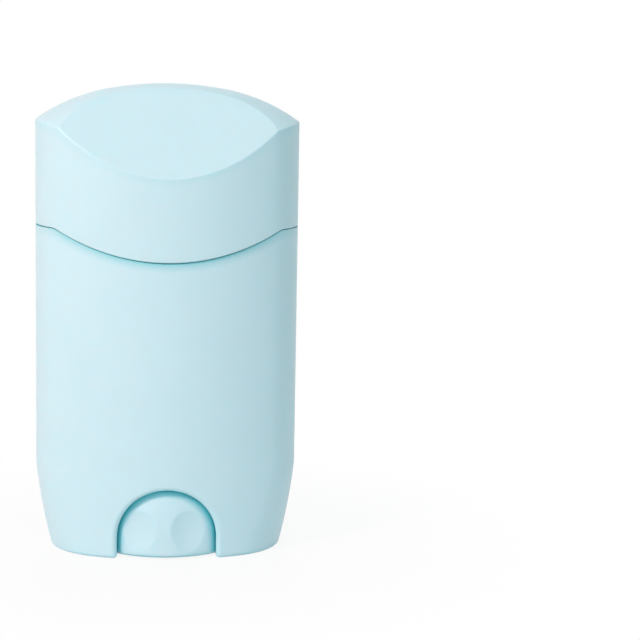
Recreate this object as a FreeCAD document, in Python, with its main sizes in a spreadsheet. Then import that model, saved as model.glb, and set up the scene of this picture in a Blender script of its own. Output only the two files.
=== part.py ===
import FreeCAD, Part
import Sketcher
import math
import os

# Empty twist-up stick container: an oval barrel, a crowned cap, a dial with its
# screw spindle, and the platform that the spindle raises. Millimetres, +Z up,
# origin under the middle of the foot, broad faces towards -Y and +Y.

Vector = FreeCAD.Vector
AXIS_Z = Vector(0, 0, 1)
START, END, CENTRE = range(1, 4)
ORIGIN_POINT = (-1, 1)
H_AXIS, V_AXIS = range(-1, -3, -1)

doc = FreeCAD.newDocument("twist_up_stick")
sizes = doc.addObject("Spreadsheet::Sheet", "sizes")

SIZES = [
    # outline seen from above
    ("shell_width", 62.3, "widest size of barrel and cap, left to right"),
    ("cap_depth", 38.5, "front to back size of the cap"),
    ("cap_overhang", 0.5, "how far the cap stands proud of the barrel, front and back"),
    ("broad_radius", 45.5, "radius of the broad front and back faces"),
    # barrel
    ("foot_width", 55.1, "left to right size of the barrel at its foot"),
    ("taper_height", 20.0, "height at which the ends start to draw in towards the foot"),
    ("taper_bulge", 0.4, "how far the drawn-in ends curve outwards half way down"),
    ("foot_round", 0.8, "rounding of the foot's outer edge"),
    ("skirt_wall", 2.0, "wall of the barrel below its floor"),
    ("barrel_wall", 2.4, "wall of the barrel above its floor, below the neck"),
    ("floor_top", 20.0, "height of the top of the barrel's floor"),
    ("floor_thickness", 1.8, "thickness of the barrel's floor"),
    ("shoulder_height", 77.45, "height of the barrel's shoulder at the ends"),
    ("wave_dip", 7.0, "how far the shoulder dips at the middle of the broad faces"),
    ("wave_radius", 53.5, "radius of the dipping shoulder line"),
    ("wave_corner", 3.0, "radius where the dipping line meets the level ends"),
    ("neck_top", 85.0, "height of the neck's rim"),
    ("neck_lead", 0.4, "bevel round the neck's rim"),
    ("bead_height", 82.2, "height of the middle of the bead that grips the cap"),
    ("bead_width", 0.9, "height of the grip bead's band"),
    ("bead_rise", 0.1, "how far the grip bead stands out from the neck"),
    # windows for the dial
    ("window_radius", 11.65, "radius of each arched window"),
    ("window_centre", 5.05, "height of the middle of the window's arch"),
    ("window_round", 1.0, "rounding of the window's outer edge"),
    # cap
    ("cap_wall", 1.2, "wall of the cap"),
    ("cap_clearance", 0.15, "gap all round between the cap and the neck"),
    ("seam_gap", 0.15, "gap between the cap's edge and the barrel's shoulder"),
    ("rim_round", 0.35, "rounding of the cap's lower edge"),
    ("total_height", 110.9, "height of the top of the cap"),
    ("crown_radius", 75.0, "radius of the crown's flatter middle, left to right"),
    ("crown_break", 14.0, "where the crown's flatter middle ends, from the middle"),
    ("crown_end_radius", 43.0, "radius of the crown towards the ends"),
    ("ridge_radius", 16.0, "radius of the crown, front to back"),
    ("ridge_turn", 70.0, "how far round from its crest the crown is curved, in degrees"),
    ("facet_low", 90.0, "lowest height of each sloping facet, on the broad face"),
    ("facet_tilt", 54.5, "slope of each facet in degrees"),
    ("crown_round", 0.5, "rounding of the edges of the crown and its facets"),
    # dial
    ("dial_proud", 0.05, "how far the dial stands proud of the barrel's front and back"),
    ("dial_rise", 0.6, "height of the dial's lower edge above the foot"),
    ("dial_top", 16.6, "height of the dial's flat top"),
    ("dial_side", 5.0, "height at which the dial's side starts to curve in"),
    ("dial_gap", 0.45, "gap between the rim of the dial's top and the skirt, front and back"),
    ("dial_bevel", 0.5, "bevel of the dial's lower edge"),
    ("dial_round", 0.8, "rounding of the dial's upper edge"),
    ("dial_wall", 2, "wall of the hollow dial"),
    ("dimple_count", 10, "number of finger dimples round the dial"),
    ("dimple_radius", 22.0, "radius of the ball that shapes each dimple"),
    ("dimple_depth", 1.0, "depth of each dimple"),
    ("dimple_height", 8.4, "height of the middle of the dimples"),
    ("dimple_turn", 15.75, "where the first dimple stands at rest, in degrees from the front"),
    ("hub_radius", 6.2, "outer radius of the hub inside the dial"),
    ("hub_bore", 3.4, "radius of the hollow in the hub"),
    ("rib_count", 5, "number of ribs inside the dial"),
    ("rib_width", 1.2, "thickness of each rib inside the dial"),
    ("rib_rise", 3.0, "height of the ribs' lower edges above the dial's edge"),
    # spindle, one moulding with the dial
    ("journal_radius", 4.6, "radius of the spindle where it turns in the floor"),
    ("journal_fit", 0.1, "running gap round the journal"),
    ("end_play", 0.3, "gap between the hub's shoulder and the floor"),
    ("collar_radius", 5.4, "radius of the snap collar above the floor"),
    ("collar_width", 1.2, "height of the snap collar"),
    ("core_radius", 3.2, "radius of the spindle between its threads"),
    ("crest_radius", 4.1, "radius over the spindle's threads"),
    ("lead", 6.0, "rise of the thread in one turn"),
    ("thread_root", 0.2, "depth to which each thread's foot is sunk in the spindle"),
    ("thread_land", 0.8, "width of the thread at its crest"),
    ("thread_flank", 0.7, "width of each sloping flank of the thread"),
    ("thread_start", 24.0, "height of the bottom of the thread"),
    ("spindle_top", 81.0, "height of the spindle's tip"),
    ("spindle_lead", 0.8, "bevel of the spindle's tip"),
    # platform
    ("platform_gap", 0.3, "gap all round between the platform and the barrel"),
    ("platform_rest", 20.3, "height of the platform's lower edge at rest"),
    ("platform_height", 10.0, "height of the platform's skirt"),
    ("platform_wall", 1.1, "wall of the platform's skirt"),
    ("platform_floor", 3.4, "height of the underside of the platform's floor above its edge"),
    ("platform_sheet", 1.4, "thickness of the platform's floor"),
    ("nut_radius", 6.6, "outer radius of the nut in the platform"),
    ("nut_top", 13.0, "height of the nut's top above the platform's edge"),
    ("nut_gap", 0.15, "gap between the nut's bore and the thread's crest"),
    ("web_width", 1.1, "thickness of the webs that hold the stick"),
    ("web_rise", 3.2, "height of the webs above the platform's floor"),
]

for row, (alias, number, note) in enumerate(SIZES, start=1):
    sizes.set("A%d" % row, alias)
    sizes.set("B%d" % row, str(number))
    sizes.setAlias("B%d" % row, alias)
    sizes.set("C%d" % row, note)
doc.recompute()

# Expressions that several features share.
BODY_DEPTH = "(sizes.cap_depth - 2 * sizes.cap_overhang)"
NECK_INSET = "(sizes.cap_wall + sizes.cap_clearance)"
FLOOR_UNDER = "(sizes.floor_top - sizes.floor_thickness)"
MID_WIDTH = "((sizes.shell_width + sizes.foot_width) / 2 + 2 * sizes.taper_bulge)"
DIAL_RADIUS = "(sizes.cap_depth / 2 - sizes.cap_overhang + sizes.dial_proud)"
DIAL_DRAW = "(sizes.dial_proud + sizes.skirt_wall + sizes.dial_gap)"


def size(alias):
    """A size from the sheet as a number."""
    return float(sizes.get(alias))


def origin_plane(body, role):
    """One of the body's own base planes."""
    return [plane for plane in body.Origin.OriginFeatures if plane.Role == role][0]


def new_body(name):
    body = doc.addObject("PartDesign::Body", name)
    body.Label = name
    body.Placement = FreeCAD.Placement()
    return body


def new_sketch(body, name, role, offset=None):
    """A sketch on a base plane of the body, lifted along its normal by an expression."""
    sketch = body.newObject("Sketcher::SketchObject", name)
    sketch.AttachmentSupport = [(origin_plane(body, role), "")]
    sketch.MapMode = "FlatFace"
    if offset is not None:
        sketch.setExpression("AttachmentOffset.Base.z", offset)
    return sketch


def bind(sketch, name, kind, *items):
    """Add a driving constraint; its last item is the expression that it follows."""
    *places, start_value, expression = items
    index = sketch.addConstraint(Sketcher.Constraint(kind, *places, start_value))
    sketch.renameConstraint(index, name)
    sketch.setExpression("Constraints." + name, expression)


def relate(sketch, kind, *places):
    sketch.addConstraint(Sketcher.Constraint(kind, *places))


def arc(sketch, x, y, radius, first, last):
    circle = Part.Circle(Vector(x, y, 0), AXIS_Z, radius)
    return sketch.addGeometry(Part.ArcOfCircle(circle, first, last))


def line(sketch, x0, y0, x1, y1):
    return sketch.addGeometry(Part.LineSegment(Vector(x0, y0, 0), Vector(x1, y1, 0)))


def outline(sketch, corners):
    """A closed run of straight lines through the corners."""
    first = None
    following = list(corners[1:]) + [corners[0]]
    for (x0, y0), (x1, y1) in zip(corners, following):
        index = line(sketch, x0, y0, x1, y1)
        if first is None:
            first = index
    count = len(corners)
    for step in range(count):
        relate(sketch, "Coincident", first + step, END, first + (step + 1) % count, START)
    return first


def oval(body, name, height, width, depth, inset="0", start=None):
    """The shell's outline: broad arcs front and back, tangent to an arc at each end.

    width, depth and inset are expressions, and start holds their numbers.
    """
    full_width, full_depth, wall = start
    broad = size("broad_radius")
    half_width = full_width / 2
    half_depth = full_depth / 2
    end = (broad * full_depth - half_width ** 2 - half_depth ** 2) / (2 * broad - full_width)
    reach = half_width - end
    drop = broad - half_depth
    turn = math.atan2(drop, reach)
    sketch = new_sketch(body, name, "XY_Plane", height)
    front = arc(sketch, 0, drop, broad - wall, turn - math.pi, -turn)
    right = arc(sketch, reach, 0, end - wall, -turn, turn)
    back = arc(sketch, 0, -drop, broad - wall, turn, math.pi - turn)
    left = arc(sketch, -reach, 0, end - wall, math.pi - turn, math.pi + turn)
    relate(sketch, "Tangent", front, END, right, START)
    relate(sketch, "Tangent", right, END, back, START)
    relate(sketch, "Tangent", back, END, left, START)
    relate(sketch, "Tangent", left, END, front, START)
    relate(sketch, "PointOnObject", right, CENTRE, H_AXIS)
    relate(sketch, "Symmetric", right, CENTRE, left, CENTRE, V_AXIS)
    relate(sketch, "Equal", right, left)
    relate(sketch, "Equal", front, back)
    bind(sketch, "broad", "Radius", front, broad - wall, "sizes.broad_radius - " + inset)
    bind(sketch, "front_reach", "DistanceY", *ORIGIN_POINT, front, CENTRE, drop,
         "sizes.broad_radius - %s / 2" % depth)
    tip = sketch.addGeometry(Part.Point(Vector(half_width - wall, 0, 0)), True)
    relate(sketch, "PointOnObject", tip, START, right)
    relate(sketch, "PointOnObject", tip, START, H_AXIS)
    bind(sketch, "tip", "DistanceX", *ORIGIN_POINT, tip, START, half_width - wall,
         "%s / 2 - %s" % (width, inset))
    return sketch


def pad(body, name, sketch, length):
    feature = body.newObject("PartDesign::Pad", name)
    feature.Profile = sketch
    feature.setExpression("Length", length)
    return feature


def pocket(body, name, sketch, length, reversed_cut):
    feature = body.newObject("PartDesign::Pocket", name)
    feature.Profile = sketch
    feature.Reversed = reversed_cut
    feature.setExpression("Length", length)
    return feature


def pocket_both_ways(body, name, sketch):
    """A cut right through the body, to both sides of the sketch."""
    feature = body.newObject("PartDesign::Pocket", name)
    feature.Profile = sketch
    feature.Midplane = True
    feature.setExpression("Length", "2 * sizes.shell_width")
    return feature


def loft(body, kind, name, sections):
    feature = body.newObject("PartDesign::" + kind, name)
    feature.Profile = sections[0]
    feature.Sections = sections[1:]
    return feature


def dress_edges(body, kind, name, measure, amount, wanted):
    """Round or bevel the edges of the body's newest feature for which wanted(edge) is true."""
    doc.recompute()
    base = body.Tip
    names = ["Edge%d" % number for number, edge in enumerate(base.Shape.Edges, start=1) if wanted(edge)]
    feature = body.newObject("PartDesign::" + kind, name)
    feature.Base = (base, names)
    feature.setExpression(measure, amount)
    doc.recompute()
    return feature


def pattern_about_z(body, name, original, count):
    feature = body.newObject("PartDesign::PolarPattern", name)
    feature.Originals = [original]
    feature.Axis = ([axis for axis in body.Origin.OriginFeatures if axis.Role == "Z_Axis"][0], [""])
    feature.Angle = 360
    feature.setExpression("Occurrences", count)
    body.Tip = feature
    return feature


def wave_region(body, name, lift, far, start):
    """The region on one side of the wave line, which is level at the ends and dips between.

    lift is an expression for the height above the barrel's shoulder, far an expression
    for the height at which the region ends, and start holds their numbers.
    """
    sketch = new_sketch(body, name, "XZ_Plane")
    radius = size("wave_radius")
    corner = size("wave_corner")
    lift_start, far_start = start
    level = size("shoulder_height") + lift_start
    rise = radius - size("wave_dip")
    span = size("shell_width")
    # The corner arcs touch the level line from below and the dipping arc from outside it.
    steep = math.acos((rise + corner) / (radius + corner))
    bend = (radius + corner) * math.sin(steep)
    left_line = line(sketch, -span, level, -bend, level)
    left_bend = arc(sketch, -bend, level - corner, corner, math.pi / 2 - steep, math.pi / 2)
    dip = arc(sketch, 0, level + rise, radius, -math.pi / 2 - steep, -math.pi / 2 + steep)
    right_bend = arc(sketch, bend, level - corner, corner, math.pi / 2, math.pi / 2 + steep)
    right_line = line(sketch, bend, level, span, level)
    right_side = line(sketch, span, level, span, far_start)
    far_line = line(sketch, span, far_start, -span, far_start)
    left_side = line(sketch, -span, far_start, -span, level)
    relate(sketch, "Tangent", left_line, END, left_bend, END)
    relate(sketch, "Tangent", left_bend, START, dip, START)
    relate(sketch, "Tangent", dip, END, right_bend, END)
    relate(sketch, "Tangent", right_bend, START, right_line, START)
    relate(sketch, "Coincident", right_line, END, right_side, START)
    relate(sketch, "Coincident", right_side, END, far_line, START)
    relate(sketch, "Coincident", far_line, END, left_side, START)
    relate(sketch, "Coincident", left_side, END, left_line, START)
    relate(sketch, "Horizontal", left_line)
    relate(sketch, "Horizontal", right_line)
    relate(sketch, "Horizontal", far_line)
    relate(sketch, "Vertical", left_side)
    relate(sketch, "Vertical", right_side)
    relate(sketch, "PointOnObject", dip, CENTRE, V_AXIS)
    relate(sketch, "Equal", left_bend, right_bend)
    bind(sketch, "corner", "Radius", left_bend, corner, "sizes.wave_corner")
    bind(sketch, "dip_radius", "Radius", dip, radius, "sizes.wave_radius")
    bind(sketch, "level_left", "DistanceY", *ORIGIN_POINT, left_line, START, level,
         "sizes.shoulder_height + " + lift)
    bind(sketch, "level_right", "DistanceY", *ORIGIN_POINT, right_line, END, level,
         "sizes.shoulder_height + " + lift)
    bind(sketch, "dip_centre", "DistanceY", *ORIGIN_POINT, dip, CENTRE, level + rise,
         "sizes.shoulder_height + %s - sizes.wave_dip + sizes.wave_radius" % lift)
    bind(sketch, "right_span", "DistanceX", *ORIGIN_POINT, right_line, END, span, "sizes.shell_width")
    bind(sketch, "left_span", "DistanceX", left_line, START, *ORIGIN_POINT, span, "sizes.shell_width")
    bind(sketch, "far_height", "DistanceY", *ORIGIN_POINT, far_line, START, far_start, far)
    return sketch


def turn_about_z(body, kind, name, sketch):
    feature = body.newObject("PartDesign::" + kind, name)
    feature.Profile = sketch
    feature.ReferenceAxis = (sketch, ["V_Axis"])
    feature.Angle = 360
    return feature


def build_barrel():
    """Oval tube with a neck, a floor that carries the spindle, and a hollow foot."""
    body = new_body("barrel")
    width = size("shell_width")
    depth = size("cap_depth") - 2 * size("cap_overhang")
    foot = size("foot_width")
    mid = (width + foot) / 2 + 2 * size("taper_bulge")
    skirt = size("skirt_wall")
    neck = size("cap_wall") + size("cap_clearance")

    foot_outline = oval(body, "foot_outline", "0", "sizes.foot_width", BODY_DEPTH, start=(foot, depth, 0))
    mid_outline = oval(body, "mid_outline", "sizes.taper_height / 2", MID_WIDTH, BODY_DEPTH,
                       start=(mid, depth, 0))
    shell_outline = oval(body, "shell_outline", "sizes.taper_height", "sizes.shell_width", BODY_DEPTH,
                         start=(width, depth, 0))
    loft(body, "AdditiveLoft", "drawn_in_foot", [foot_outline, mid_outline, shell_outline])

    wall_outline = oval(body, "wall_outline", "sizes.taper_height", "sizes.shell_width", BODY_DEPTH,
                        start=(width, depth, 0))
    pad(body, "straight_wall", wall_outline, "sizes.shoulder_height - sizes.taper_height")
    above = wave_region(body, "shoulder_line", "0", "sizes.total_height", (0, size("total_height")))
    pocket_both_ways(body, "shoulder", above)

    neck_outline = oval(body, "neck_outline", "sizes.floor_top", "sizes.shell_width", BODY_DEPTH,
                        NECK_INSET, (width, depth, neck))
    pad(body, "neck", neck_outline, "sizes.neck_top - sizes.floor_top")
    bead_outline = oval(body, "bead_outline", "sizes.bead_height - sizes.bead_width / 2",
                        "sizes.shell_width", BODY_DEPTH,
                        "(%s - sizes.bead_rise)" % NECK_INSET, (width, depth, neck - size("bead_rise")))
    pad(body, "grip_bead", bead_outline, "sizes.bead_width")

    rim_height = size("neck_top")

    def is_rim_edge(edge):
        return edge.BoundBox.ZMin > rim_height - size("neck_lead")

    dress_edges(body, "Chamfer", "rim_bevel", "Size", "sizes.neck_lead", is_rim_edge)

    bore_outline = oval(body, "bore_outline", "sizes.neck_top", "sizes.shell_width", BODY_DEPTH,
                        "sizes.barrel_wall", (width, depth, size("barrel_wall")))
    pocket(body, "stick_bore", bore_outline, "sizes.neck_top - sizes.floor_top", False)

    inner_foot = oval(body, "inner_foot", "0", "sizes.foot_width", BODY_DEPTH, "sizes.skirt_wall",
                      (foot, depth, skirt))
    inner_mid = oval(body, "inner_mid", "sizes.taper_height / 2", MID_WIDTH, BODY_DEPTH,
                     "sizes.skirt_wall", (mid, depth, skirt))
    inner_top = oval(body, "inner_top", FLOOR_UNDER, "sizes.shell_width", BODY_DEPTH,
                     "sizes.skirt_wall", (width, depth, skirt))
    loft(body, "SubtractiveLoft", "hollow_foot", [inner_foot, inner_mid, inner_top])

    bearing = new_sketch(body, "bearing_circle", "XY_Plane", "sizes.floor_top")
    bore = size("journal_radius") + size("journal_fit")
    circle = bearing.addGeometry(Part.Circle(Vector(0, 0, 0), AXIS_Z, bore))
    relate(bearing, "Coincident", circle, CENTRE, *ORIGIN_POINT)
    bind(bearing, "bore", "Radius", circle, bore, "sizes.journal_radius + sizes.journal_fit")
    pocket(body, "bearing", bearing, "sizes.floor_thickness", False)

    window = new_sketch(body, "window_arch", "XZ_Plane")
    radius = size("window_radius")
    centre = size("window_centre")
    below = size("taper_height")
    arch = arc(window, 0, centre, radius, 0, math.pi)
    left = line(window, -radius, centre, -radius, -below)
    bottom = line(window, -radius, -below, radius, -below)
    right = line(window, radius, -below, radius, centre)
    relate(window, "Tangent", arch, END, left, START)
    relate(window, "Tangent", right, END, arch, START)
    relate(window, "Coincident", left, END, bottom, START)
    relate(window, "Coincident", bottom, END, right, START)
    relate(window, "Horizontal", bottom)
    relate(window, "PointOnObject", arch, CENTRE, V_AXIS)
    relate(window, "Vertical", left)
    relate(window, "Vertical", right)
    bind(window, "arch_radius", "Radius", arch, radius, "sizes.window_radius")
    bind(window, "arch_height", "DistanceY", *ORIGIN_POINT, arch, CENTRE, centre, "sizes.window_centre")
    bind(window, "below", "DistanceY", bottom, START, *ORIGIN_POINT, below, "sizes.taper_height")
    pocket_both_ways(body, "dial_windows", window)

    broad = size("broad_radius")
    half_depth = depth / 2

    def is_window_edge(edge):
        middle = edge.valueAt((edge.FirstParameter + edge.LastParameter) / 2)
        face = math.sqrt(broad ** 2 - middle.x ** 2) - broad + half_depth if abs(middle.x) < broad else 0
        on_face = abs(abs(middle.y) - face) < skirt / 3
        on_arch = abs(middle.x) < radius + skirt / 3 and middle.z < centre + radius + skirt / 3
        return on_face and on_arch and middle.z > skirt / 3

    dress_edges(body, "Fillet", "window_rounding", "Radius",
                "min(sizes.window_round; sizes.skirt_wall / 2)", is_window_edge)

    def is_foot_edge(edge):
        flat = edge.BoundBox.ZMax < skirt / 10
        return flat and foot_outline.Shape.distToShape(edge)[0] < skirt / 10

    dress_edges(body, "Fillet", "foot_rounding", "Radius", "sizes.foot_round", is_foot_edge)
    return body


def cap_form(name, inset, below, start):
    """The cap's form with every face moved in by inset, reaching down past the shoulder by below.

    inset and below are expressions, and start holds their numbers.
    """
    wall, drop = start
    body = new_body(name)
    top = size("total_height")
    width = size("shell_width")
    depth = size("cap_depth")
    low = size("shoulder_height") - drop

    path = new_sketch(body, name + "_crown_path", "XZ_Plane")
    crown = size("crown_radius")
    crown_end = size("crown_end_radius")
    first_turn = math.asin(size("crown_break") / crown)
    end_x = (crown - crown_end) * math.sin(first_turn)
    end_z = top - crown + (crown - crown_end) * math.cos(first_turn)
    reach = width / 2 + size("cap_wall")
    last_turn = math.asin((reach - end_x) / (crown_end - wall))
    quarter = math.pi / 2
    middle = arc(path, 0, top - crown, crown - wall, quarter - first_turn, quarter)
    outer = arc(path, end_x, end_z, crown_end - wall, quarter - last_turn, quarter - first_turn)
    relate(path, "Tangent", middle, START, outer, END)
    relate(path, "PointOnObject", middle, CENTRE, V_AXIS)
    relate(path, "PointOnObject", middle, END, V_AXIS)
    bind(path, "crown_height", "DistanceY", *ORIGIN_POINT, middle, END, top - wall,
         "sizes.total_height - " + inset)
    bind(path, "crown_radius", "Radius", middle, crown - wall, "sizes.crown_radius - " + inset)
    bind(path, "end_radius", "Radius", outer, crown_end - wall, "sizes.crown_end_radius - " + inset)
    bind(path, "crown_break", "DistanceX", *ORIGIN_POINT, middle, START,
         (crown - wall) * math.sin(first_turn),
         "sizes.crown_break * (sizes.crown_radius - %s) / sizes.crown_radius" % inset)
    bind(path, "reach", "DistanceX", *ORIGIN_POINT, outer, START, reach,
         "sizes.shell_width / 2 + sizes.cap_wall")

    section = new_sketch(body, name + "_ridge_section", "YZ_Plane")
    ridge = size("ridge_radius") - wall
    ridge_z = top - size("ridge_radius")
    turn = math.radians(size("ridge_turn"))
    half = ridge * math.sin(turn)
    edge_z = ridge_z + ridge * math.cos(turn)
    arch = arc(section, 0, ridge_z, ridge, math.pi / 2 - turn, math.pi / 2 + turn)
    left_level = line(section, -half, edge_z, -depth, edge_z)
    left_side = line(section, -depth, edge_z, -depth, low)
    bottom = line(section, -depth, low, depth, low)
    right_side = line(section, depth, low, depth, edge_z)
    right_level = line(section, depth, edge_z, half, edge_z)
    chain = [left_level, left_side, bottom, right_side, right_level]
    relate(section, "Coincident", arch, END, left_level, START)
    for before, after in zip(chain, chain[1:]):
        relate(section, "Coincident", before, END, after, START)
    relate(section, "Coincident", right_level, END, arch, START)
    relate(section, "Horizontal", left_level)
    relate(section, "Horizontal", right_level)
    relate(section, "Horizontal", bottom)
    relate(section, "Vertical", left_side)
    relate(section, "Vertical", right_side)
    relate(section, "PointOnObject", arch, CENTRE, V_AXIS)
    relate(section, "Symmetric", arch, START, arch, END, V_AXIS)
    bind(section, "ridge_radius", "Radius", arch, ridge, "sizes.ridge_radius - " + inset)
    bind(section, "ridge_height", "DistanceY", *ORIGIN_POINT, arch, CENTRE, ridge_z,
         "sizes.total_height - sizes.ridge_radius")
    bind(section, "ridge_turn", "DistanceX", *ORIGIN_POINT, arch, START, half,
         "(sizes.ridge_radius - %s) * sin(sizes.ridge_turn * 1 deg)" % inset)
    bind(section, "low", "DistanceY", *ORIGIN_POINT, bottom, START, low,
         "sizes.shoulder_height - " + below)
    bind(section, "left_reach", "DistanceX", bottom, START, *ORIGIN_POINT, depth, "sizes.cap_depth")
    bind(section, "right_reach", "DistanceX", *ORIGIN_POINT, bottom, END, depth, "sizes.cap_depth")

    crest = body.newObject("PartDesign::AdditivePipe", name + "_crest")
    crest.Profile = section
    crest.Spine = path
    crest.Mode = "Fixed"
    doc.recompute()
    other_half = body.newObject("PartDesign::Mirrored", name + "_other_half")
    other_half.Originals = [crest]
    other_half.MirrorPlane = (origin_plane(body, "YZ_Plane"), [""])
    body.Tip = other_half

    around = oval(body, name + "_outline", "sizes.total_height", "sizes.shell_width", "sizes.cap_depth",
                  inset, (width, depth, wall))
    frame_line = outline(around, [(-width, -width), (width, -width), (width, width), (-width, width)])
    for side, direction in enumerate(("Horizontal", "Vertical", "Horizontal", "Vertical")):
        relate(around, direction, frame_line + side)
    bind(around, "frame_left", "DistanceX", frame_line, START, *ORIGIN_POINT, width, "sizes.shell_width")
    bind(around, "frame_right", "DistanceX", *ORIGIN_POINT, frame_line, END, width, "sizes.shell_width")
    bind(around, "frame_front", "DistanceY", frame_line, START, *ORIGIN_POINT, width, "sizes.shell_width")
    bind(around, "frame_back", "DistanceY", *ORIGIN_POINT, frame_line + 2, START, width,
         "sizes.shell_width")
    pocket(body, name + "_sides", around, "sizes.total_height", False)

    tilt = math.radians(size("facet_tilt"))
    start_y = depth / 2 - wall * math.sin(tilt)
    start_z = size("facet_low") - wall * math.cos(tilt)
    rise = top + size("cap_wall") - start_z
    slope = new_sketch(body, name + "_facet_line", "YZ_Plane")
    corners = [(-start_y, start_z), (-start_y + rise / math.tan(tilt), start_z + rise),
               (-depth, start_z + rise), (-depth, start_z)]
    facet = outline(slope, corners)
    relate(slope, "Horizontal", facet + 1)
    relate(slope, "Vertical", facet + 2)
    relate(slope, "Horizontal", facet + 3)
    bind(slope, "facet_reach", "DistanceX", facet, START, *ORIGIN_POINT, start_y,
         "sizes.cap_depth / 2 - %s * sin(sizes.facet_tilt * 1 deg)" % inset)
    bind(slope, "facet_low", "DistanceY", *ORIGIN_POINT, facet, START, start_z,
         "sizes.facet_low - %s * cos(sizes.facet_tilt * 1 deg)" % inset)
    bind(slope, "facet_tilt", "Angle", facet, tilt, "sizes.facet_tilt * 1 deg")
    bind(slope, "facet_high", "DistanceY", *ORIGIN_POINT, facet, END, start_z + rise,
         "sizes.total_height + sizes.cap_wall")
    bind(slope, "facet_far", "DistanceX", facet + 2, START, *ORIGIN_POINT, depth, "sizes.cap_depth")
    front = pocket_both_ways(body, name + "_front_facet", slope)
    doc.recompute()
    back = body.newObject("PartDesign::Mirrored", name + "_back_facet")
    back.Originals = [front]
    back.MirrorPlane = (origin_plane(body, "XZ_Plane"), [""])
    body.Tip = back
    return body


def build_cap():
    """Pull-off cap: a thin shell whose lower edge follows the barrel's shoulder."""
    dip = size("wave_dip")
    outer = cap_form("cap_outer", "0", "2 * sizes.wave_dip", (0, 2 * dip))
    seam = wave_region(outer, "cap_edge_line", "sizes.seam_gap",
                       "(sizes.shoulder_height - 4 * sizes.wave_dip)",
                       (size("seam_gap"), size("shoulder_height") - 4 * dip))
    pocket_both_ways(outer, "cap_edge", seam)
    shoulder = size("shoulder_height")

    def is_crown_edge(edge):
        return edge.Curve.TypeId != "Part::GeomLine" and edge.BoundBox.ZMin > shoulder + dip

    def is_rim_edge(edge):
        return edge.Curve.TypeId != "Part::GeomLine" and edge.BoundBox.ZMax < shoulder + dip

    dress_edges(outer, "Fillet", "rim_rounding", "Radius", "sizes.rim_round", is_rim_edge)
    dress_edges(outer, "Fillet", "crown_rounding", "Radius", "sizes.crown_round", is_crown_edge)
    inner = cap_form("cap_inner", "sizes.cap_wall", "3 * sizes.wave_dip", (size("cap_wall"), 3 * dip))
    cap = doc.addObject("Part::Cut", "cap")
    cap.Base = outer
    cap.Tool = inner
    cap.Label = "cap"
    return cap


def dome_region(body, name, inner, low, offset, start):
    """Half section of the dial's dome, moved in by offset, from the radius inner outwards.

    inner, low and offset are expressions, and start holds their numbers.
    """
    inner_start, low_start, wall = start
    sketch = new_sketch(body, name, "XZ_Plane")
    side = size("cap_depth") / 2 - size("cap_overhang") + size("dial_proud")
    run = size("dial_proud") + size("skirt_wall") + size("dial_gap")
    climb = size("dial_top") - size("dial_side")
    radius = (run ** 2 + climb ** 2) / (2 * run)
    centre_x = side - radius
    top = size("dial_top") - wall
    last = math.asin((climb - wall) / (radius - wall))
    low_line = line(sketch, inner_start, low_start, side - wall, low_start)
    wall_line = line(sketch, side - wall, low_start, side - wall, size("dial_side"))
    shoulder = arc(sketch, centre_x, size("dial_side"), radius - wall, 0, last)
    top_x = centre_x + (radius - wall) * math.cos(last)
    top_line = line(sketch, top_x, top, inner_start, top)
    inner_line = line(sketch, inner_start, top, inner_start, low_start)
    relate(sketch, "Coincident", low_line, END, wall_line, START)
    relate(sketch, "Tangent", wall_line, END, shoulder, START)
    relate(sketch, "Coincident", shoulder, END, top_line, START)
    relate(sketch, "Coincident", top_line, END, inner_line, START)
    relate(sketch, "Coincident", inner_line, END, low_line, START)
    relate(sketch, "Horizontal", low_line)
    relate(sketch, "Vertical", wall_line)
    relate(sketch, "Horizontal", top_line)
    relate(sketch, "Vertical", inner_line)
    bind(sketch, "low", "DistanceY", *ORIGIN_POINT, low_line, START, low_start, low)
    if inner == "0":
        relate(sketch, "PointOnObject", low_line, START, V_AXIS)
    else:
        bind(sketch, "inner", "DistanceX", *ORIGIN_POINT, low_line, START, inner_start, inner)
    bind(sketch, "side", "DistanceX", *ORIGIN_POINT, low_line, END, side - wall,
         DIAL_RADIUS + " - " + offset)
    bind(sketch, "side_top", "DistanceY", *ORIGIN_POINT, wall_line, END, size("dial_side"),
         "sizes.dial_side")
    bind(sketch, "shoulder", "Radius", shoulder, radius - wall,
         "(%s ^ 2 + (sizes.dial_top - sizes.dial_side) ^ 2) / (2 * %s) - %s" % (DIAL_DRAW, DIAL_DRAW, offset))
    bind(sketch, "top", "DistanceY", *ORIGIN_POINT, top_line, START, top, "sizes.dial_top - " + offset)
    return sketch


def stepped_profile(sketch, corners):
    """A closed profile whose corners follow pairs of expressions (radius, height).

    Each corner is (radius number, height number, radius expression, height expression).
    """
    first = outline(sketch, [(corner[0], corner[1]) for corner in corners])
    for step, (radius, height, radius_rule, height_rule) in enumerate(corners):
        if radius_rule == "0":
            relate(sketch, "PointOnObject", first + step, START, V_AXIS)
        else:
            bind(sketch, "radius_%d" % step, "DistanceX", *ORIGIN_POINT, first + step, START, radius,
                 radius_rule)
        bind(sketch, "height_%d" % step, "DistanceY", *ORIGIN_POINT, first + step, START, height,
             height_rule)
    return first


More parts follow.
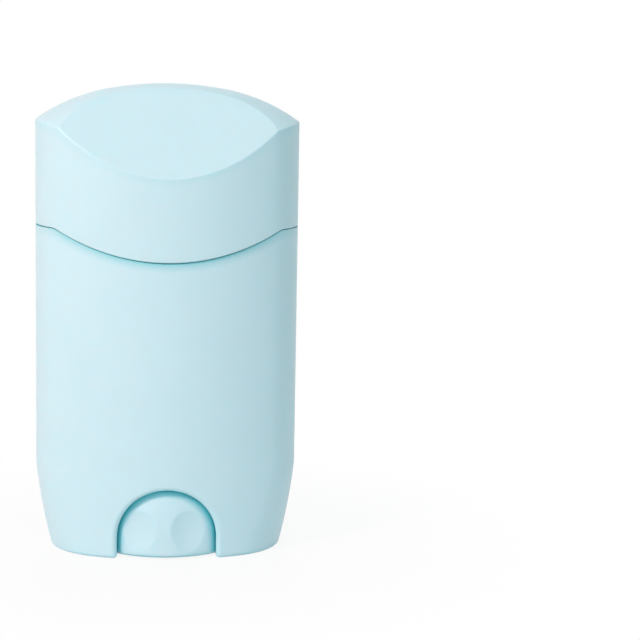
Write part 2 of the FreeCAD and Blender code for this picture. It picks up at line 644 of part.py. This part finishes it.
def spindle_thread(body):
    """The spindle's helical ridge, with sloping flanks."""
    root = size("core_radius") - size("thread_root")
    crest = size("crest_radius")
    half = size("thread_land") / 2
    flank = size("thread_flank")
    height = size("thread_start")
    root_rule = "sizes.core_radius - sizes.thread_root"
    below = "sizes.thread_start - sizes.thread_land / 2"
    above = "sizes.thread_start + sizes.thread_land / 2"
    sketch = new_sketch(body, "thread_section", "XZ_Plane")
    stepped_profile(sketch, [
        (root, height - half - flank, root_rule, below + " - sizes.thread_flank"),
        (crest, height - half, "sizes.crest_radius", below),
        (crest, height + half, "sizes.crest_radius", above),
        (root, height + half + flank, root_rule, above + " + sizes.thread_flank"),
    ])
    doc.recompute()
    ridge = body.newObject("PartDesign::AdditiveHelix", "spindle_thread")
    ridge.Profile = sketch
    ridge.ReferenceAxis = (sketch, ["V_Axis"])
    ridge.Mode = 0
    ridge.setExpression("Pitch", "sizes.lead")
    ridge.setExpression(
        "Height",
        "sizes.spindle_top - sizes.spindle_lead - sizes.thread_start - sizes.thread_land - sizes.thread_flank",
    )
    return ridge


def build_dial():
    """Dial with finger dimples, and the threaded spindle that stands on it."""
    body = new_body("dial")
    rise = size("dial_rise")
    wall = size("dial_wall")
    dome = dome_region(body, "dome_outline", "0", "sizes.dial_rise", "0", (0, rise, 0))
    turn_about_z(body, "Revolution", "dome", dome)

    def is_low_rim(edge):
        return edge.BoundBox.ZMax < rise + wall / 10

    def is_top_rim(edge):
        return edge.BoundBox.ZMin > size("dial_top") - wall / 10

    dress_edges(body, "Chamfer", "low_bevel", "Size", "sizes.dial_bevel", is_low_rim)
    dress_edges(body, "Fillet", "top_rounding", "Radius", "sizes.dial_round", is_top_rim)

    hub = size("hub_radius")
    shaft = new_sketch(body, "spindle_outline", "XZ_Plane")
    journal = size("journal_radius")
    collar = size("collar_radius")
    core = size("core_radius")
    band = size("collar_width")
    hub_top = size("floor_top") - size("floor_thickness") - size("end_play")
    catch = size("floor_top") + size("journal_fit")
    tip = size("spindle_top")
    lead_in = size("spindle_lead")
    hub_top_rule = FLOOR_UNDER + " - sizes.end_play"
    catch_rule = "sizes.floor_top + sizes.journal_fit"
    stepped_profile(shaft, [
        (0, size("dial_side"), "0", "sizes.dial_side"),
        (hub, size("dial_side"), "sizes.hub_radius", "sizes.dial_side"),
        (hub, hub_top, "sizes.hub_radius", hub_top_rule),
        (journal, hub_top, "sizes.journal_radius", hub_top_rule),
        (journal, catch, "sizes.journal_radius", catch_rule),
        (collar, catch, "sizes.collar_radius", catch_rule),
        (collar, catch + band / 3, "sizes.collar_radius", catch_rule + " + sizes.collar_width / 3"),
        (core, catch + band, "sizes.core_radius", catch_rule + " + sizes.collar_width"),
        (core, tip - lead_in, "sizes.core_radius", "sizes.spindle_top - sizes.spindle_lead"),
        (core - lead_in, tip, "sizes.core_radius - sizes.spindle_lead", "sizes.spindle_top"),
        (0, tip, "0", "sizes.spindle_top"),
    ])
    turn_about_z(body, "Revolution", "spindle", shaft)

    hollow = dome_region(body, "hollow_outline", "sizes.hub_radius", "0", "sizes.dial_wall",
                         (hub, 0, wall))
    turn_about_z(body, "Groove", "hollow", hollow)

    bore_sketch = new_sketch(body, "hub_bore_circle", "XY_Plane", "sizes.dial_top - sizes.dial_wall")
    bore = size("hub_bore")
    circle = bore_sketch.addGeometry(Part.Circle(Vector(0, 0, 0), AXIS_Z, bore))
    relate(bore_sketch, "Coincident", circle, CENTRE, *ORIGIN_POINT)
    bind(bore_sketch, "bore", "Radius", circle, bore, "sizes.hub_bore")
    pocket(body, "hub_hollow", bore_sketch, "sizes.dial_top", False)

    rib_low = rise + size("rib_rise")
    rib_inner = (hub + bore) / 2
    rib = dome_region(body, "rib_outline", "(sizes.hub_radius + sizes.hub_bore) / 2",
                      "sizes.dial_rise + sizes.rib_rise", "sizes.dial_wall / 2",
                      (rib_inner, rib_low, wall / 2))
    rib_pad = pad(body, "rib", rib, "sizes.rib_width")
    rib_pad.Midplane = True
    pattern_about_z(body, "ribs", rib_pad, "sizes.rib_count")

    ball = body.newObject("PartDesign::SubtractiveSphere", "dimple")
    ball.AttachmentSupport = [(origin_plane(body, "XY_Plane"), "")]
    ball.MapMode = "FlatFace"
    ball.setExpression("Radius", "sizes.dimple_radius")
    reach = "(%s - sizes.dimple_depth + sizes.dimple_radius)" % DIAL_RADIUS
    ball.setExpression("AttachmentOffset.Base.x", reach + " * sin(sizes.dimple_turn * 1 deg)")
    ball.setExpression("AttachmentOffset.Base.y", "-" + reach + " * cos(sizes.dimple_turn * 1 deg)")
    ball.setExpression("AttachmentOffset.Base.z", "sizes.dimple_height")
    doc.recompute()
    pattern_about_z(body, "dimples", ball, "sizes.dimple_count")

    spindle_thread(body)
    return body


def build_platform():
    """Platform that carries the stick: an oval cup with a threaded tube and webs."""
    body = new_body("platform")
    width = size("shell_width")
    depth = size("cap_depth") - 2 * size("cap_overhang")
    gap = size("barrel_wall") + size("platform_gap")
    gap_rule = "(sizes.barrel_wall + sizes.platform_gap)"
    inner = gap + size("platform_wall")
    inner_rule = "(sizes.barrel_wall + sizes.platform_gap + sizes.platform_wall)"
    floor_low = "sizes.platform_rest + sizes.platform_floor"
    floor_high = "(sizes.platform_rest + sizes.platform_floor + sizes.platform_sheet)"

    skirt = oval(body, "skirt_outline", "sizes.platform_rest", "sizes.shell_width", BODY_DEPTH,
                 gap_rule, (width, depth, gap))
    pad(body, "skirt", skirt, "sizes.platform_height")
    cup = oval(body, "cup_outline", "sizes.platform_rest + sizes.platform_height", "sizes.shell_width",
               BODY_DEPTH, inner_rule, (width, depth, inner))
    pocket(body, "cup", cup,
           "sizes.platform_height - sizes.platform_floor - sizes.platform_sheet", False)
    recess = oval(body, "recess_outline", floor_low, "sizes.shell_width", BODY_DEPTH,
                  inner_rule, (width, depth, inner))
    pocket(body, "recess", recess, "sizes.platform_floor", False)

    webs = new_sketch(body, "web_outlines", "XY_Plane", floor_high)
    half = size("web_width") / 2
    reach_x = width / 2 - gap - size("platform_wall") / 2
    reach_y = depth / 2 - gap - size("platform_wall") / 2
    long_web = outline(webs, [(-reach_x, -half), (reach_x, -half), (reach_x, half), (-reach_x, half)])
    centred_box(webs, "long_web", long_web, (reach_x, half),
                ("sizes.shell_width / 2 - %s - sizes.platform_wall / 2" % gap_rule, "sizes.web_width / 2"))
    pad(body, "long_webs", webs, "sizes.web_rise")
    cross = new_sketch(body, "cross_outline", "XY_Plane", floor_high)
    cross_web = outline(cross, [(-half, -reach_y), (half, -reach_y), (half, reach_y), (-half, reach_y)])
    centred_box(cross, "cross_web", cross_web, (half, reach_y),
                ("sizes.web_width / 2", "%s / 2 - %s - sizes.platform_wall / 2" % (BODY_DEPTH, gap_rule)))
    pad(body, "cross_webs", cross, "sizes.web_rise")

    tube = new_sketch(body, "nut_circle", "XY_Plane", floor_low)
    nut = size("nut_radius")
    tube_circle = tube.addGeometry(Part.Circle(Vector(0, 0, 0), AXIS_Z, nut))
    relate(tube, "Coincident", tube_circle, CENTRE, *ORIGIN_POINT)
    bind(tube, "nut_radius", "Radius", tube_circle, nut, "sizes.nut_radius")
    pad(body, "nut_tube", tube, "sizes.nut_top - sizes.platform_floor")

    bore_sketch = new_sketch(body, "nut_bore_circle", "XY_Plane", "sizes.platform_rest + sizes.nut_top")
    bore = size("crest_radius") + size("nut_gap")
    circle = bore_sketch.addGeometry(Part.Circle(Vector(0, 0, 0), AXIS_Z, bore))
    relate(bore_sketch, "Coincident", circle, CENTRE, *ORIGIN_POINT)
    bind(bore_sketch, "bore", "Radius", circle, bore, "sizes.crest_radius + sizes.nut_gap")
    pocket(body, "nut_bore", bore_sketch, "sizes.nut_top", False)
    return body


def centred_box(sketch, name, first, half, rules):
    """Hold a rectangle from outline() square and centred, with half sizes from two expressions."""
    for side, direction in enumerate(("Horizontal", "Vertical", "Horizontal", "Vertical")):
        relate(sketch, direction, first + side)
    bind(sketch, name + "_left", "DistanceX", first, START, *ORIGIN_POINT, half[0], rules[0])
    bind(sketch, name + "_right", "DistanceX", *ORIGIN_POINT, first, END, half[0], rules[0])
    bind(sketch, name + "_front", "DistanceY", first, START, *ORIGIN_POINT, half[1], rules[1])
    bind(sketch, name + "_back", "DistanceY", *ORIGIN_POINT, first + 2, START, half[1], rules[1])


def check_and_export(parts):
    """Stop on any unsound feature or shape, then write one STEP file for each part."""
    doc.recompute()
    for feature in doc.Objects:
        if "Invalid" in feature.State or "Error" in feature.State:
            raise RuntimeError("%s is %s" % (feature.Label, feature.State))
    os.makedirs("parts", exist_ok=True)
    for part in parts:
        shape = part.Shape
        if shape.isNull() or not shape.isValid() or len(shape.Solids) != 1:
            raise RuntimeError("%s has no single sound solid" % part.Label)
        shape.exportStep("parts/%s.step" % part.Label)


check_and_export([build_barrel(), build_cap(), build_dial(), build_platform()])
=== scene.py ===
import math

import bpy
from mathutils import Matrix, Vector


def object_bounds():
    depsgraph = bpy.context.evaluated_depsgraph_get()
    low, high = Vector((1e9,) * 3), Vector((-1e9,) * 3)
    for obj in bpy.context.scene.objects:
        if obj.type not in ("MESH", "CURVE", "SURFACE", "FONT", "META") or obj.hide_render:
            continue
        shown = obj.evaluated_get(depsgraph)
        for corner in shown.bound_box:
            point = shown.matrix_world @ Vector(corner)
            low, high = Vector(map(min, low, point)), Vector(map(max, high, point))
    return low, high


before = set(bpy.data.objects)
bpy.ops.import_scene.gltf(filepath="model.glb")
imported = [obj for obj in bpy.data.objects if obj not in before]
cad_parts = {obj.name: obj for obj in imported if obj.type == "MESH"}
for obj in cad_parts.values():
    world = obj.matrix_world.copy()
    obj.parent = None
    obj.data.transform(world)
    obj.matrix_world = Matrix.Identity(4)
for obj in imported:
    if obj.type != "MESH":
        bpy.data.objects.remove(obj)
cad_low, cad_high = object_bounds()

# Dresses the twist-up stick container: moulded plastic for each piece, a pale
# floor, soft studio light and the camera. Metres, +Z up.

MM = 0.001
WHITE = (1, 1, 1, 1)


def linear(red, green, blue):
    """Scene colour from 0 to 255 display values."""
    def channel(value):
        share = value / 255
        return share / 12.92 if share <= 0.04045 else ((share + 0.055) / 1.055) ** 2.4
    return (channel(red), channel(green), channel(blue), 1.0)


# -------------------------------------------------------------- shader nodes


def empty_tree(owner):
    """The owner's own node tree, with nothing in it."""
    owner.use_nodes = True
    owner.node_tree.nodes.clear()
    return owner.node_tree


def add(tree, kind, values=None, **attributes):
    """A new shader node, with its attributes and then its input values set."""
    node = tree.nodes.new("ShaderNode" + kind)
    for name, value in attributes.items():
        setattr(node, name, value)
    for name, value in (values or {}).items():
        node.inputs[name].default_value = value
    return node


def noise(tree, coordinates, size, detail):
    """Noise whose blotches are about size across."""
    node = add(tree, "TexNoise", {"Scale": 1 / size, "Detail": detail, "Roughness": 0.5})
    tree.links.new(coordinates, node.inputs["Vector"])
    return node.outputs["Fac"]


def remap(tree, source, start, end, low=0, high=1):
    """low where source is at start, high where it is at end, and held there beyond."""
    node = add(tree, "MapRange", {"From Min": start, "From Max": end, "To Min": low, "To Max": high})
    tree.links.new(source, node.inputs["Value"])
    return node.outputs["Result"]


def spread(tree, source, low, high):
    """Noise, which stays near a half, spread out to run from low to high."""
    return remap(tree, source, 0.3, 0.7, low, high)


def calculate(tree, operation, first, second):
    """What a Math node makes of two sockets."""
    node = add(tree, "Math", operation=operation)
    tree.links.new(first, node.inputs[0])
    tree.links.new(second, node.inputs[1])
    return node.outputs[0]


def separate(tree, coordinates):
    """The X, Y and Z of coordinates."""
    node = add(tree, "SeparateXYZ")
    tree.links.new(coordinates, node.inputs["Vector"])
    return node.outputs


def mix_shaders(tree, factor, first, second):
    """The first shader where factor is 0 and the second where it is 1."""
    node = add(tree, "MixShader")
    tree.links.new(factor, node.inputs["Fac"])
    tree.links.new(first, node.inputs[1])
    tree.links.new(second, node.inputs[2])
    return node.outputs["Shader"]


def seen_directly(tree):
    """1 on rays straight from the camera and in reflections or through plastic."""
    path = add(tree, "LightPath").outputs
    camera_or_gloss = calculate(tree, "MAXIMUM", path["Is Camera Ray"], path["Is Glossy Ray"])
    return calculate(tree, "MAXIMUM", camera_or_gloss, path["Is Transmission Ray"])


# ------------------------------------------------------------------- plastic

PALE = linear(208, 236, 244)
DEEP = linear(206, 235, 243)
# Teal shade painted into the colour in seams, gaps and round the dial's window, by ambient
# occlusion.
PAINTED_CREVICE_SHADE = linear(10, 200, 212)
MOTTLE_SIZE = 9 * MM
GLOSS_SIZE = 3 * MM
GRAIN_SIZE = 0.35 * MM
RIPPLE_SIZE = 5 * MM
BUMP_HEIGHT = 0.02 * MM
RIPPLE_SHARE = 2
CREVICE_REACH = 2.2 * MM
CREVICE_DARK = 0.35
CREVICE_LIGHT = 0.92
CREVICE_LEAN = 0.8
FOOT_CLEAR = 2 * MM
GLOSS_LOW = 0.95
GLOSS_HIGH = 1.08
POLYPROPYLENE = {
    "IOR": 1.49,
    "Subsurface Weight": 0.4,
    "Subsurface Radius": (0.25, 1.0, 1.1),
    "Subsurface Scale": 1 * MM,
    "Specular IOR Level": 0.7,
}


def painted_shade_mask(tree, object_place):
    """1 on open faces and 0 deep in seams and gaps, where teal shade is painted into the colour."""
    # Looking out a little upwards keeps what the object stands on out of the painted shade.
    surface = add(tree, "NewGeometry")
    lean = add(tree, "VectorMath")
    lean.inputs[1].default_value = (0, 0, CREVICE_LEAN)
    tree.links.new(surface.outputs["Normal"], lean.inputs[0])
    hollow = add(tree, "AmbientOcclusion", {"Distance": CREVICE_REACH}, samples=8)
    tree.links.new(lean.outputs["Vector"], hollow.inputs["Normal"])
    openness = remap(tree, hollow.outputs["AO"], CREVICE_DARK, CREVICE_LIGHT)
    # No painted shade near the bottom, where the object meets the floor.
    at_foot = remap(tree, separate(tree, object_place)["Z"], FOOT_CLEAR, 0)
    return calculate(tree, "MAXIMUM", openness, at_foot)


def rough_normal(tree, coordinates, grain, soft_edge):
    """The normal, with its edges rounded off by soft_edge, slight ripple and fine grain."""
    fine = noise(tree, coordinates, GRAIN_SIZE, 2)
    wide = noise(tree, coordinates, RIPPLE_SIZE, 1)
    softened = add(tree, "Bevel", {"Radius": soft_edge}, samples=16)
    normal = softened.outputs["Normal"]
    for height, strength in ((wide, RIPPLE_SHARE * grain), (fine, grain)):
        bump = add(tree, "Bump", {"Strength": strength, "Distance": BUMP_HEIGHT})
        tree.links.new(height, bump.inputs["Height"])
        tree.links.new(normal, bump.inputs["Normal"])
        normal = bump.outputs["Normal"]
    return normal


def moulded_plastic(name, roughness, grain, seed, soft_edge):
    """Satin polypropylene: faint colour flow, uneven gloss, fine grain, slight ripple, painted teal
    shade in seams.
    """
    material = bpy.data.materials.new(name)
    tree = empty_tree(material)
    place = add(tree, "TexCoord").outputs["Object"]
    shift = add(tree, "Mapping", {"Location": (seed, seed / 2, seed / 3)})
    tree.links.new(place, shift.inputs["Vector"])
    coordinates = shift.outputs["Vector"]

    mottle = noise(tree, coordinates, MOTTLE_SIZE, 3)
    colour = add(tree, "Mix", {"A": PALE, "B": DEEP}, data_type="RGBA")
    tree.links.new(spread(tree, mottle, 0, 1), colour.inputs["Factor"])
    # Painted shade: the colour turns teal where ambient occlusion finds seams and gaps.
    with_painted_shade = add(tree, "Mix", {"A": PAINTED_CREVICE_SHADE}, data_type="RGBA")
    tree.links.new(painted_shade_mask(tree, place), with_painted_shade.inputs["Factor"])
    tree.links.new(colour.outputs["Result"], with_painted_shade.inputs["B"])

    gloss = noise(tree, coordinates, GLOSS_SIZE, 4)
    gloss = spread(tree, gloss, roughness * GLOSS_LOW, roughness * GLOSS_HIGH)

    shader = add(tree, "BsdfPrincipled", POLYPROPYLENE)
    tree.links.new(with_painted_shade.outputs["Result"], shader.inputs["Base Color"])
    tree.links.new(gloss, shader.inputs["Roughness"])
    tree.links.new(rough_normal(tree, coordinates, grain, soft_edge), shader.inputs["Normal"])
    output = add(tree, "OutputMaterial")
    tree.links.new(shader.outputs["BSDF"], output.inputs["Surface"])
    return material


MATERIALS = {
    "barrel": moulded_plastic("barrel_plastic", 0.40, 0.10, 0.11, 0.3 * MM),
    "cap": moulded_plastic("cap_plastic", 0.40, 0.10, 0.27, 0.3 * MM),
    "dial": moulded_plastic("dial_plastic", 0.31, 0.04, 0.43, 1.2 * MM),
    "platform": moulded_plastic("platform_plastic", 0.45, 0.12, 0.61, 0.3 * MM),
}

for name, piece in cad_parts.items():
    piece.data.materials.clear()
    piece.data.materials.append(MATERIALS[name])

# --------------------------------------------------------------------- floor

OBJECT_HEIGHT = cad_high.z - cad_low.z
FLOOR_REACH = 12 * OBJECT_HEIGHT
FLOOR_WHITE = (0.86, 0.86, 0.86, 1)
NEAR_GLOW = 0.9
NEAR_REACH = 0.25 * OBJECT_HEIGHT
FAR_REACH = 0.9 * OBJECT_HEIGHT

floor_mesh = bpy.data.meshes.new("floor")
floor_mesh.from_pydata(
    [(-FLOOR_REACH, -FLOOR_REACH, cad_low.z), (FLOOR_REACH, -FLOOR_REACH, cad_low.z),
     (FLOOR_REACH, FLOOR_REACH, cad_low.z), (-FLOOR_REACH, FLOOR_REACH, cad_low.z)],
    [],
    [(0, 1, 2, 3)],
)
floor = bpy.data.objects.new("floor", floor_mesh)
bpy.context.scene.collection.objects.link(floor)

# Near the object the floor keeps some of its shadow, and further out it is plain white.
floor_material = bpy.data.materials.new("floor_paper")
tree = empty_tree(floor_material)
paper = add(tree, "BsdfDiffuse", {"Color": FLOOR_WHITE})
glow = add(tree, "Emission", {"Color": WHITE, "Strength": 1})
distance = add(tree, "VectorMath", operation="LENGTH")
tree.links.new(add(tree, "TexCoord").outputs["Object"], distance.inputs[0])
away = remap(tree, distance.outputs["Value"], NEAR_REACH, FAR_REACH, NEAR_GLOW, 1)
share = calculate(tree, "MULTIPLY", seen_directly(tree), away)
blend = mix_shaders(tree, share, paper.outputs["BSDF"], glow.outputs["Emission"])
tree.links.new(blend, add(tree, "OutputMaterial").inputs["Surface"])
floor_mesh.materials.append(floor_material)

# ----------------------------------------------------------------------- sky

SKY_LIGHT = 0.92
SKY_COLOUR = (0.71, 0.92, 0.96, 1)
BEHIND_SHARE = 0.22
FADE_START = -1
FADE_END = 0.5

world = bpy.data.worlds.new("studio")
bpy.context.scene.world = world
tree = empty_tree(world)
shown = add(tree, "Background", {"Color": WHITE, "Strength": 1})
lighting = add(tree, "Background", {"Color": SKY_COLOUR})
# The sky is brightest in front of the object and fades towards its back.
across = separate(tree, add(tree, "TexCoord").outputs["Generated"])["Y"]
fade = remap(tree, across, FADE_START, FADE_END, SKY_LIGHT, SKY_LIGHT * BEHIND_SHARE)
tree.links.new(fade, lighting.inputs["Strength"])
blend = mix_shaders(
    tree, seen_directly(tree), lighting.outputs["Background"], shown.outputs["Background"]
)
tree.links.new(blend, add(tree, "OutputWorld").inputs["Surface"])

# -------------------------------------------------------------------- lights

LAMP_DISTANCE = 0.9
middle = (cad_low + cad_high) / 2


def softbox(name, azimuth, elevation, width, strength, colour, glints=True):
    """A square lamp that faces the object. Azimuth 0 stands in front, 90 to the right."""
    turn = math.radians(azimuth)
    lift = math.radians(elevation)
    out = Vector(
        (math.sin(turn) * math.cos(lift), -math.cos(turn) * math.cos(lift), math.sin(lift))
    )
    lamp = bpy.data.lights.new(name, "AREA")
    lamp.size = width
    lamp.energy = strength
    lamp.color = colour
    holder = bpy.data.objects.new(name, lamp)
    holder.location = middle + out * LAMP_DISTANCE
    holder.rotation_euler = (-out).to_track_quat("-Z", "Y").to_euler()
    holder.visible_glossy = glints
    bpy.context.scene.collection.objects.link(holder)


softbox("key", -47, 36, 0.12, 4.6, (1, 0.73, 0.69))
# The two lamps behind make no glints, which would eat into the cap's outline.
softbox("top", 160, 58, 0.6, 1.0, (1, 1, 1), glints=False)
softbox("back", 180, 15, 0.3, 2.8, (1, 0.95, 0.93), glints=False)

# -------------------------------------------------------------------- camera

CAMERA_PLACE = Vector((-9.2, -512.2, 137.4)) * MM
CAMERA_TILT = 80.84
CAMERA_ROLL = -1.02
CAMERA_PAN = -4.98
SENSOR_WIDTH = 36
FOCAL_LENGTH = 121.35
NEAREST_SEEN = 10 * MM

lens = bpy.data.cameras.new("camera")
lens.sensor_width = SENSOR_WIDTH
lens.lens = FOCAL_LENGTH
lens.clip_start = NEAREST_SEEN
camera = bpy.data.objects.new("camera", lens)
camera.location = CAMERA_PLACE
camera.rotation_euler = [math.radians(turn) for turn in (CAMERA_TILT, CAMERA_ROLL, CAMERA_PAN)]
bpy.context.scene.collection.objects.link(camera)
bpy.context.scene.camera = camera

bpy.context.scene.view_settings.view_transform = "Standard"
